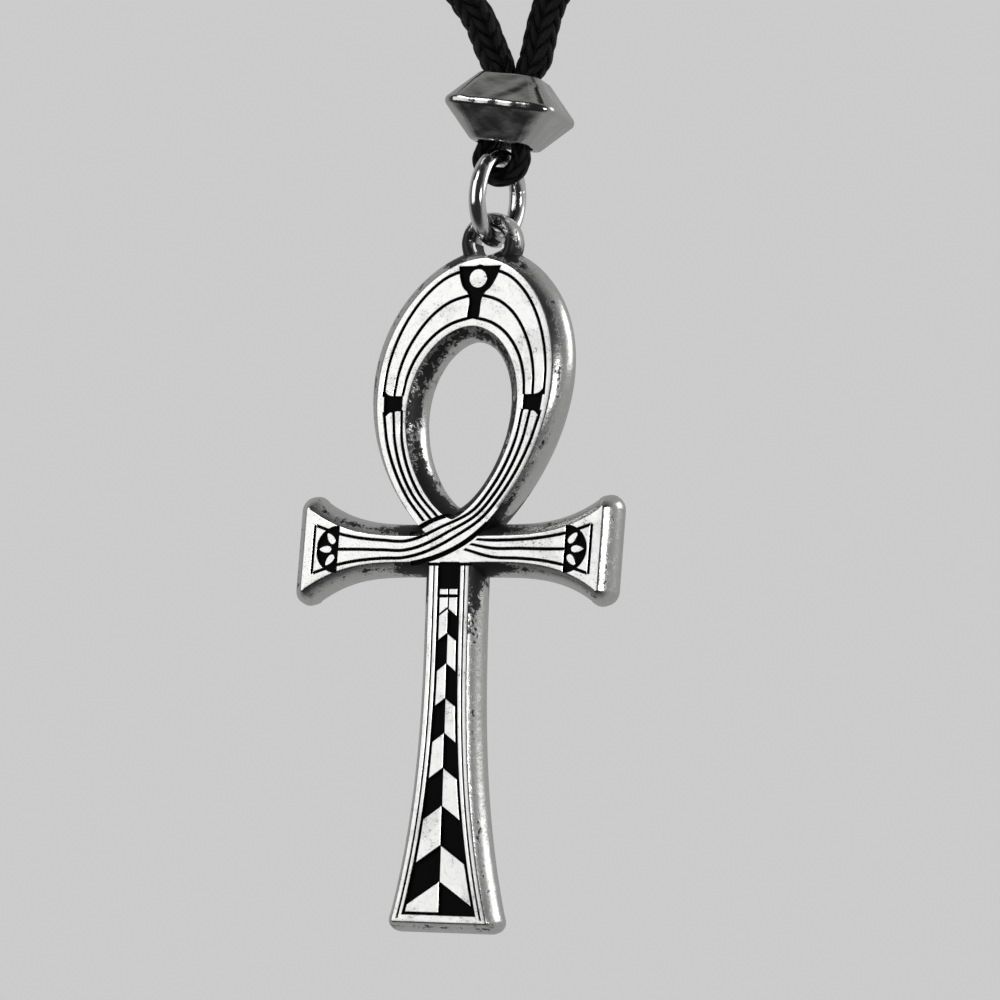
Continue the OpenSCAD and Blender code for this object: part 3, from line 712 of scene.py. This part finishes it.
def castBody():
    swell, side, inner = s["edgeSwell"], finishes["side"], finishes["inner"]
    body = loft("castAnkh", edgeRings(lambda o: teardrop(loopPt, o), swell), side)
    holeRings = edgeRings(lambda o: teardrop(holePt, o), swell)
    holeRings = [(-half - 0.3, holeRings[0][1])] + holeRings + [(half + 0.3, holeRings[-1][1])]
    carve(body, loft("hole", holeRings, inner))
    carve(body, loft("arms", edgeRings(armOutline, swell), side), "UNION")
    carve(body, loft("shaft", edgeRings(shaftOutline, s["shaftSwell"]), side), "UNION")

    clearPick()
    bpy.ops.mesh.primitive_torus_add(major_radius=(s["eyeBore"] + s["eyeWall"]) / 2 * mm,
                                     minor_radius=s["eyeWall"] / 2 * mm, major_segments=72, minor_segments=24)
    eye = bpy.context.object
    eye.data.transform(layAt(lean(eyeZ), eyeZ) @ Matrix.Scale(s["eyeThick"] / s["eyeWall"], 4, (0, 0, 1)))
    eye.data.materials.append(side)
    carve(body, eye, "UNION")

    # shoulders under the eyelet, a block with rounded edges
    wide = s["shoulderW"] * (s["eyeBore"] + 2 * s["eyeWall"])
    deep, drop = s["shoulderD"] * s["eyeThick"], s["shoulderH"] * s["eyeRise"]
    clearPick()
    bpy.ops.mesh.primitive_cube_add(size=mm)
    block = bpy.context.object
    block.data.transform(Matrix.Translation((lean(eyeZ) * mm, 0, (eyeZ - drop / 2) * mm))
                         @ Matrix.Diagonal((wide, deep, drop, 1)))

    def upright(edge):
        a, b = (v.co for v in edge.verts)
        return abs(a.x - b.x) < 0.1 * mm and abs(a.y - b.y) < 0.1 * mm

    pickEdges(block, upright)
    bpy.ops.mesh.bevel(offset=s["shoulderR"] * mm, segments=6, affect="EDGES")
    closeEdit(outward=True)
    block.data.materials.append(side)
    carve(body, block, "UNION")

    clearPick()
    bpy.ops.mesh.primitive_cylinder_add(vertices=72, radius=(s["eyeBore"] / 2 - s["boreEase"]) * mm,
                                        depth=8 * mm)
    bore = bpy.context.object
    bore.data.transform(layAt(lean(eyeZ), eyeZ))
    bore.data.materials.append(inner)
    return carve(body, bore)


def cutPattern(body):
    sinks, petals = loopSinks() + crownSinks(), []
    for side in (-1, 1):
        dug, raised = armEnd(side)
        sinks += dug
        petals += raised
    sinks += shaftSinks()
    for face in (-1, 1):
        tool = joinUp([stamp(outline, face, sinkLevels, finishes["black"]) for outline in sinks])
        carve(body, tool, crossing=True)
    print("pattern sunk:", len(body.data.polygons), "faces")

    # the petals and the disc stand on the sunk floor
    shapes = petals + [crownDisc()]
    raised = [stamp(shape, face, raiseLevels, finishes["face"]) for face in (-1, 1) for shape in shapes]
    carve(body, joinUp(raised), "UNION")


def polishFaces(body):
    # faces by where they lie: polished on the two faces and along the sunk edges
    slots = {m.name: i for i, m in enumerate(body.data.materials)}
    for poly in body.data.polygons:
        deep = abs(poly.center.y) / mm
        black = body.data.materials[poly.material_index].name == "blackRecess"
        if deep > half - 0.04 and (black or abs(poly.normal.y) > 0.9):
            poly.material_index = slots["polishedFace"]


# Where patina stays, in millimetres: in the corners at the crossing and beside the eyelet, and in a band on
# the sides. The middle of the sides is rubbed bare.
patina = {
    "reach": 1.6, "crossing": [(2.9, 2.0), (-2.9, 2.0), (2.2, -1.5), (-2.2, -1.5)],
    "shoulder": (1.9, 0.5), "shoulderFall": 1.9,
    "bandAt": 1.15, "bandWide": 0.22, "band": 0.25, "rubWide": 0.7, "rub": 0.35,
}


def markHollows(body):
    p = patina
    aside, above = p["shoulder"]
    corners = [(corner, 1) for corner in p["crossing"]]
    corners += [((lean(eyeZ) + side * aside, s["loopH"] + above), p["shoulderFall"]) for side in (-1, 1)]
    hollow = body.data.attributes.new("hollow", "FLOAT", "POINT")
    for v in body.data.vertices:
        here, deep = (v.co.x / mm, v.co.z / mm), abs(v.co.y) / mm
        near = min(math.dist(here, corner) * fall for corner, fall in corners)
        band = math.exp(-((deep - p["bandAt"]) / p["bandWide"]) ** 2)
        rubbed = math.exp(-(deep / p["rubWide"]) ** 2)
        hollow.data[v.index].value = math.exp(-near / p["reach"]) + p["band"] * band - p["rub"] * rubbed


def makeAnkh():
    body = castBody()
    print("ankh body joined:", len(body.data.polygons), "faces")
    cutPattern(body)
    polishFaces(body)
    markHollows(body)
    applyStep(body, "TRIANGULATE", min_vertices=5)
    softShade(body)
    # turned about the eyelet, which hangs on the ring's lowest wire
    hangZ = ringZ - ringR + hang["ringWire"] / 2 + hang["hangGap"] - s["eyeBore"] / 2
    body.data.transform(Matrix.Translation((0, hang["frontY"] * mm, hangZ * mm))
                        @ Matrix.Rotation(math.radians(-hang["tilt"]), 4, "Y")
                        @ Matrix.Translation((-lean(eyeZ) * mm, 0, -eyeZ * mm)))
    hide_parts("ankh")
    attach(body, "pendant")
    print("ankh done:", len(body.data.polygons), "faces")


makeAnkh()

# The jump ring: round wire with a thin butt seam at the back
ringSize = {
    "wire": hang["ringWire"], "seam": 0.05, "seamAt": 108,       # the seam's place in degrees
    "colour": (0.86, 0.86, 0.85), "markColour": (0.6, 0.6, 0.59), "rough": 0.09,
    "wave": 1.1, "mark": 0.16,
}


def makeRing():
    f = Finish("polishedWire", ringSize["colour"], 1.0, ringSize["rough"])
    wave, marks = f.noise(ringSize["wave"], 2), f.noise(ringSize["mark"], 3, 0.6)
    f.give("Roughness", ringSize["rough"] + 0.08 * wave + 0.1 * f.step(marks, 0.58, 0.7))
    f.give("Base Color", f.mix(f.step(marks, 0.56, 0.72), ringSize["colour"], ringSize["markColour"]))
    f.give("Normal", f.bump(wave + 0.12 * marks, 0.5, 0.02))
    clearPick()
    bpy.ops.mesh.primitive_torus_add(major_radius=ringR * mm, minor_radius=ringSize["wire"] / 2 * mm,
                                     major_segments=120, minor_segments=40)
    ring = bpy.context.object
    ring.name = "jumpRingWire"
    turn = math.radians(ringSize["seamAt"])

    def onSeam(edge):
        spots = [math.atan2(v.co.y, v.co.x) for v in edge.verts]
        return all(abs(a - turn) < 0.001 for a in spots)

    pickEdges(ring, onSeam)
    bpy.ops.mesh.bevel(offset=ringSize["seam"] * mm, segments=2, affect="EDGES")
    closeEdit()
    pickEdges(ring, onSeam)
    bpy.ops.transform.shrink_fatten(value=-ringSize["seam"] * mm)
    closeEdit(outward=True)
    ring.data.materials.append(f.material)
    softShade(ring, 40, flatten=False)
    ring.data.transform(Matrix.Translation((0, hang["frontY"] * mm, ringZ * mm))
                        @ Matrix.Rotation(math.radians(hang["ringTurn"]), 4, "Z")
                        @ Matrix.Rotation(math.pi / 2, 4, "Y"))
    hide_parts("jump_ring")
    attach(ring, "ring")
    print("jump ring done:", len(ring.data.polygons), "faces")


makeRing()

# The bead: a square double cone, widest at a rounded ridge
beadSize = {
    "width": 8.0, "endWidth": 4.3, "height": 4.8, "bore": 4.0,
    "cornerR": 1.5, "ridgeRound": 0.42, "rimRound": 0.14,
    "turn": 7.5, "tilt": 3.0, "shift": 0.3,      # turn and lean in degrees, sideways shift in mm
    "colour": (0.56, 0.56, 0.55), "markColour": (0.3, 0.3, 0.29), "rough": 0.15,
    "wave": 2.4, "peel": 1.0, "mark": 0.13, "waveDepth": 0.27,
}


def beadFinish():
    f = Finish("polishedBead", beadSize["colour"], 1.0, beadSize["rough"])
    broad, peel = f.noise(beadSize["wave"], 1, twist=0.4), f.noise(beadSize["peel"], 2)
    marks = f.noise(beadSize["mark"], 3, 0.6)
    worn = f.step(broad, 0.5, 0.64)
    f.give("Roughness", beadSize["rough"] + 0.1 * worn + 0.12 * f.step(marks, 0.55, 0.7) * worn)
    f.give("Base Color", f.mix(f.step(marks, 0.6, 0.7) * worn, beadSize["colour"], beadSize["markColour"]))
    f.give("Normal", f.bump(broad + 0.15 * peel + 0.02 * marks * worn, 0.9, beadSize["waveDepth"]))
    return f.material


def makeBead():
    b = beadSize
    rise = b["height"] / 2 * mm
    clearPick()
    bpy.ops.mesh.primitive_plane_add(size=b["endWidth"] * mm)
    bead = bpy.context.object
    bead.name = "squareBead"
    bead.data.transform(Matrix.Translation((0, 0, -rise)))
    # a sharp ridge stands out a little further, so that its rounding ends at the bead's width
    slant = math.atan((b["width"] - b["endWidth"]) / b["height"])
    sharp = b["width"] + 2 * b["ridgeRound"] * math.tan(slant / 2)
    bpy.ops.object.mode_set(mode="EDIT")
    bpy.ops.mesh.select_all(action="SELECT")
    bpy.ops.mesh.bevel(offset=b["cornerR"] * b["endWidth"] / b["width"] * mm, segments=10, affect="VERTICES")
    bpy.ops.mesh.select_all(action="SELECT")
    for wide in (sharp / b["endWidth"], b["endWidth"] / sharp):
        bpy.ops.mesh.extrude_region_move(TRANSFORM_OT_translate={"value": (0, 0, rise)})
        bpy.ops.transform.resize(value=(wide, wide, 1))
    closeEdit(outward=True)
    pickEdges(bead, lambda e: all(abs(v.co.z) < 0.05 * mm for v in e.verts))
    bpy.ops.mesh.bevel(offset=b["ridgeRound"] * mm, segments=7, affect="EDGES")
    closeEdit()
    pickEdges(bead, lambda e: all(abs(v.co.z) > rise - 0.05 * mm for v in e.verts))
    bpy.ops.mesh.bevel(offset=b["rimRound"] * mm, segments=4, affect="EDGES")
    closeEdit()
    finish = beadFinish()
    bead.data.materials.append(finish)
    clearPick()
    bpy.ops.mesh.primitive_cylinder_add(vertices=96, radius=b["bore"] / 2 * mm, depth=4 * rise)
    bore = bpy.context.object
    bore.data.materials.append(finish)
    carve(bead, bore)
    applyStep(bead, "TRIANGULATE", min_vertices=5)
    softShade(bead, 35)
    beadZ = ringZ + hang["ringOuter"] / 2 + hang["beadGap"] + b["height"] / 2
    bead.data.transform(Matrix.Translation((b["shift"] * mm, hang["frontY"] * mm, beadZ * mm))
                        @ Matrix.Rotation(math.radians(b["tilt"]), 4, "Y")
                        @ Matrix.Rotation(math.radians(b["turn"]), 4, "Z"))
    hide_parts("bead")
    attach(bead, "necklace")
    print("bead done:", len(bead.data.polygons), "faces")


makeBead()

# The cord: right half of its route, in millimetres, as in the CAD source.
# Each row is x, y, z, the shares of the half diameter sideways and from front to back, and a shift in x that
# both halves share.
frontY, bightZ = hang["frontY"], hang["bightZ"]
routeHalf = [
    [0.5, 0, 0, 1, 1, 0],
    [8, 0, 0, 1, 1, 0],
    [30, -4, -3, 1, 1, 0],
    [51, -20, -10, 1, 1, 0],
    [62, -48, -28, 1, 1, 0],
    [61, -80, -62, 1, 1, 0],
    [50, -104, -104, 1, 1, 0],
    [32, frontY + 8, bightZ + 58, 1, 1, -0.9],
    [13.6, frontY + 1, bightZ + 27, 1, 1, -1.3],
    [5.2, frontY, bightZ + 15.2, 1, 1, -1.05],
    [3.3, frontY, bightZ + 12.6, 1, 1, -0.68],
    [2.4, frontY, bightZ + 10.9, 1, 1, -0.2],
    [1.86, frontY, bightZ + 9.3, 1, 1, 0.12],
    [1.42, frontY, bightZ + 8.16, 0.97, 1, 0.36],
    [1.1, frontY, bightZ + 7.66, 0.87, 1, 0.43],
    [0.96, frontY, bightZ + 7.2, 0.77, 1, 0.43],
    [0.96, frontY, bightZ + 6.2, 0.76, 1, 0.38],
    [0.97, frontY, bightZ + 4.2, 0.75, 0.98, 0.28],
    [1.04, frontY, bightZ + 3.2, 0.7, 0.92, 0.24],
    [1.2, frontY, bightZ + 2.35, 0.55, 0.81, 0.14],
    [1.39, frontY, bightZ + 1.8, 0.54, 0.7, 0.02],
    [1.47, frontY, bightZ + 1.4, 0.59, 0.7, 0],
    [1.37, frontY, bightZ + 0.9, 0.6, 0.72, 0],
    [1.02, frontY, bightZ + 0.37, 0.59, 0.72, 0],
    [0.52, frontY, bightZ + 0.07, 0.59, 0.7, 0],
    [0, frontY, bightZ, hang["bightShare"], 0.7, 0]
]
cordSize = {
    "thick": hang["cordThick"],
    "sides": 32, "pitch": 0.21,          # fineness of the mesh, mm
    "columns": 8,                         # columns of plaits round the cord
    "plaitLength": 1.2,                   # one plait to the next along the cord, mm
    "depth": 0.17,                        # valleys between plaits, as a share of the radius
    "threads": 6,                         # satin threads in a plait
    "fuzz": 0.1, "sheen": 0.9, "relief": 0.16,
    "colour": (0.004, 0.004, 0.0045), "rough": 0.4, "specular": 0.12,
    # painted shade: the colour of the valleys between plaits; painted sheen: the colour of the plaits' tops
    "shadedValleyColour": (0.0006, 0.0006, 0.0006), "sheenPlaitColour": (0.016, 0.016, 0.017),
}


def braidHeight(around, along):
    # columns of slanted plaits that form chevrons; 1 is the top of a plait
    column = math.floor(around + 0.001)
    u = around - column
    f = (along + (1 - 2 * (column % 2)) * u) % 1
    return math.sqrt(max((1 - (2 * f - 1) ** 2) * (0.35 + 0.65 * (1 - (2 * u - 1) ** 2)), 0))


def cordFinish():
    # the same plaits again as fine relief, with satin threads drawn along each, and painted shade in the
    # valleys and painted sheen on the plaits' tops in the colour
    f = Finish("blackBraid", cordSize["colour"], 0.0, cordSize["rough"])
    split = f.add("ShaderNodeSeparateXYZ", {}, {0: f.add("ShaderNodeUVMap", {"uv_map": "braid"}, {}, "UV")})
    around = split * cordSize["columns"]
    along = Wire(f, split.socket.node.outputs[1])
    column = around.calc("FLOOR", around)
    u = around - column
    family = column.calc("FLOORED_MODULO", column, 2.0)
    slanted = along + (1.0 - 2.0 * family) * u
    v = slanted.calc("FRACT", slanted)
    top = v * (1.0 - v) * 4.0 * (0.35 + u * (1.0 - u) * 2.6)
    height = top.calc("POWER", top, 0.5)
    threads = v.calc("SINE", v * (math.tau * cordSize["threads"]))
    fuzz, sheen = f.noise(cordSize["fuzz"], 4, 0.6), f.noise(cordSize["sheen"], 2)
    # painted shade darkens the valleys; painted sheen lightens the plaits' tops, more on every other column
    # and in soft patches, with stripes along the threads
    shadeAndSheen = f.step(height, 0.45, 1.0) * (0.3 + 0.5 * family + 0.5 * sheen) * (0.85 + 0.15 * threads)
    f.give("Base Color", f.mix(shadeAndSheen, cordSize["shadedValleyColour"], cordSize["sheenPlaitColour"]))
    f.give("Roughness", cordSize["rough"] - 0.08 + 0.2 * fuzz)
    f.give("Normal", f.bump(height + threads * 0.07 + fuzz * 0.2, 0.9, cordSize["relief"]))
    f.give("Specular IOR Level", cordSize["specular"])
    return f.material


def cordRoute(pitch, steps=30):
    # rows at even distances along the whole cord, and its length in millimetres
    rows = [[r[0] + r[5], *r[1:5]] for r in routeHalf] + [[r[5] - r[0], *r[1:5]] for r in routeHalf[-2::-1]]
    coarse = [smoothAt(rows, i / steps) for i in range(steps * (len(rows) - 1) + 1)]
    lengths = [0.0]
    for a, b in zip(coarse, coarse[1:]):
        lengths.append(lengths[-1] + math.dist(a[:3], b[:3]))
    count = int(lengths[-1] / pitch)
    rings, k = [], 0
    for i in range(count + 1):
        want = lengths[-1] * i / count
        while k < len(coarse) - 2 and lengths[k + 1] < want:
            k += 1
        t = (want - lengths[k]) / max(lengths[k + 1] - lengths[k], 1e-9)
        rings.append([p + (q - p) * t for p, q in zip(coarse[k], coarse[k + 1])])
    return rings, lengths[-1]


def makeCord():
    c = cordSize
    rings, whole = cordRoute(c["pitch"])
    count = len(rings) - 1
    clearPick()
    bpy.ops.mesh.primitive_circle_add(vertices=c["sides"], radius=c["thick"] / 2 * mm, calc_uvs=False)
    cord = bpy.context.object
    cord.name = "braidedCord"
    applyStep(cord, "SCREW", angle=0, screw_offset=1.0, iterations=1, steps=count, render_steps=count,
              use_merge_vertices=False)
    print("cord tube:", len(cord.data.vertices), "points for", count + 1, "rings")

    # each ring of the tube goes to its place on the route, with the plaits standing out
    spots = [v.co for v in cord.data.vertices]
    order = sorted(range(len(spots)), key=lambda i: (round(spots[i].z * count),
                                                     math.atan2(spots[i].y, spots[i].x)))
    up = Vector((0, 0, 1))
    ringOf = {}
    for i, row in enumerate(rings):
        ahead, behind = rings[min(i + 1, count)], rings[max(i - 1, 0)]
        way = (Vector(ahead[:3]) - Vector(behind[:3])).normalized()
        up = (up - way * up.dot(way)).normalized()
        side = way.cross(up)
        along = whole * i / count / c["plaitLength"]
        for n in range(c["sides"]):
            share = n / c["sides"]
            out = up * math.cos(math.tau * share) + side * math.sin(math.tau * share)
            reach = 1 / math.sqrt((out.y / row[4]) ** 2 + (1 - out.y ** 2) / row[3] ** 2)
            swell = 1 - c["depth"] * (1 - braidHeight(share * c["columns"], along))
            spot = order[i * c["sides"] + n]
            cord.data.vertices[spot].co = (Vector(row[:3]) + out * (c["thick"] / 2 * reach * swell)) * mm
            ringOf[spot] = (share, along)
    layer = cord.data.uv_layers.new(name="braid")
    for poly in cord.data.polygons:
        # a face across the seam has its first column's points at the end of the row
        wide = max(ringOf[v][0] for v in poly.vertices) > 0.9
        for loop in poly.loop_indices:
            share, along = ringOf[cord.data.loops[loop].vertex_index]
            layer.data[loop].uv = (share + (1 if wide and share < 0.1 else 0), along)
    takeUp(cord)
    bpy.ops.object.mode_set(mode="EDIT")
    bpy.ops.mesh.select_mode(type="EDGE")
    bpy.ops.mesh.select_all(action="DESELECT")
    bpy.ops.mesh.select_non_manifold(extend=False)
    bpy.ops.mesh.edge_face_add()
    closeEdit(outward=True)
    cord.data.materials.append(cordFinish())
    softShade(cord, 80, flatten=False)
    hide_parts("cord")
    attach(cord, "necklace")
    print("cord done:", len(cord.data.polygons), "faces,", round(whole), "mm long")


makeCord()

# The ferrule at the nape: a plain tube with two crimped grooves
ferruleSize = {
    "length": 14.0, "bore": 2.56, "wall": 0.6, "groove": 0.16, "grooveAt": 4.2, "grooveStep": 0.14,
    "edge": 0.18, "bell": 0.12,
    "colour": (0.7, 0.7, 0.69), "rough": 0.24, "drawn": 14,      # how far the drawing lines are stretched
}


def makeFerrule():
    q = ferruleSize
    f = Finish("satinTube", q["colour"], 1.0, q["rough"])
    drawn = f.add("ShaderNodeMapping", {}, {0: f.place(), "Scale": (1, q["drawn"], q["drawn"])})
    lines = f.noise(1.2, 3, at=drawn)
    f.give("Roughness", q["rough"] + 0.16 * lines)
    f.give("Normal", f.bump(lines, 0.4, 0.01))
    end, outer = q["length"] / 2, q["bore"] / 2 + q["wall"]
    halfProfile = [(-end, -q["edge"]), (-end + 0.05, -0.05), (-end + q["edge"], 0)]
    for step in range(-3, 4):
        dip = q["groove"] * (1 + math.cos(math.pi * step / 3)) / 2
        halfProfile.append((-q["grooveAt"] + q["grooveStep"] * step, -dip))
    profile = halfProfile + [(0, 0)] + [(-x, d) for x, d in reversed(halfProfile)]

    def circle(r):
        turns = [math.tau * i / 64 for i in range(64)]
        return [(r * math.cos(a), r * math.sin(a)) for a in turns]

    tube = loft("napeFerrule", [(y, circle(outer + d)) for y, d in profile], f.material)
    b = q["bell"]
    bore = [(-end - 1, b), (-end, b), (-end + b, 0), (end - b, 0), (end, b), (end + 1, b)]
    carve(tube, loft("bore", [(y, circle(q["bore"] / 2 + d)) for y, d in bore], f.material))
    applyStep(tube, "TRIANGULATE", min_vertices=5)
    softShade(tube, 35)
    tube.data.transform(Matrix.Rotation(-math.pi / 2, 4, "Z"))
    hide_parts("ferrule")
    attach(tube, "necklace")
    print("ferrule done:", len(tube.data.polygons), "faces")


makeFerrule()

# Stage and light

studio = {
    "backdrop": (0.6, 0.6, 0.6),     # what the camera sees behind the object
    "floorDrop": 240,                # floor below the object, mm
    "floorSize": 2.6, "floorY": -0.1,    # m
    "floorColour": (0.9, 0.9, 0.89), "floorGrain": (0.84, 0.84, 0.83),
    "room": {"From Min": -0.45, "From Max": 0.25, "To Min": 0.03, "To Max": 0.48},   # dark in front
    # soft boxes round a middle: azimuth and elevation in degrees, distance and size in mm, power
    "boxMiddle": -232,
    "boxes": {"faceBox": (-32, 7, 480, 400, 0.62), "topBox": (-20, 40, 500, 170, 0.42),
              "backBox": (125, 25, 520, 260, 0.45), "sideBox": (66, 4, 520, 120, 0.4)},
}


def makeStage():
    clearPick()
    low = cadBox[0].z - studio["floorDrop"] * mm
    bpy.ops.mesh.primitive_circle_add(vertices=96, radius=studio["floorSize"], fill_type="NGON",
                                      location=(0, studio["floorY"], low))
    floor = bpy.context.object
    floor.name = "paleFloor"
    f = Finish("paleFloor", studio["floorColour"], 0.0, 0.6)
    grain = f.noise(2.0, 3)
    f.give("Base Color", f.mix(grain, studio["floorGrain"], studio["floorColour"]))
    floor.data.materials.append(f.material)
    floor.visible_glossy = False

    world = bpy.data.worlds.new("softStudio")
    bpy.context.scene.world = world
    world.use_nodes = True
    tree = world.node_tree
    tree.nodes.clear()
    output = tree.nodes.new("ShaderNodeOutputWorld")
    seen, room = tree.nodes.new("ShaderNodeBackground"), tree.nodes.new("ShaderNodeBackground")
    pick, path = tree.nodes.new("ShaderNodeMixShader"), tree.nodes.new("ShaderNodeLightPath")
    place, split = tree.nodes.new("ShaderNodeTexCoord"), tree.nodes.new("ShaderNodeSeparateXYZ")
    ramp = tree.nodes.new("ShaderNodeMapRange")
    seen.inputs["Color"].default_value = (*studio["backdrop"], 1)
    ramp.interpolation_type = "SMOOTHSTEP"
    for key, value in studio["room"].items():
        ramp.inputs[key].default_value = value
    tree.links.new(place.outputs["Generated"], split.inputs[0])
    tree.links.new(split.outputs["Y"], ramp.inputs["Value"])
    tree.links.new(ramp.outputs[0], room.inputs["Strength"])
    tree.links.new(path.outputs["Is Camera Ray"], pick.inputs[0])
    tree.links.new(room.outputs[0], pick.inputs[1])
    tree.links.new(seen.outputs[0], pick.inputs[2])
    tree.links.new(pick.outputs[0], output.inputs[0])

    centre = Vector((0, hang["frontY"], studio["boxMiddle"])) * mm
    for name, (azimuth, elevation, distance, size, power) in studio["boxes"].items():
        back = outwards(azimuth, elevation)
        clearPick()
        bpy.ops.object.light_add(type="AREA", location=centre + back * distance * mm)
        light = bpy.context.object
        light.name = name
        light.rotation_euler = (-back).to_track_quat("-Z", "Y").to_euler()
        light.data.shape, light.data.size = "SQUARE", size * mm
        light.data.energy = power
        light.visible_camera = False
    bpy.context.scene.view_settings.view_transform = "Standard"
    bpy.context.scene.view_settings.look = "None"


makeStage()
print("stage lit")
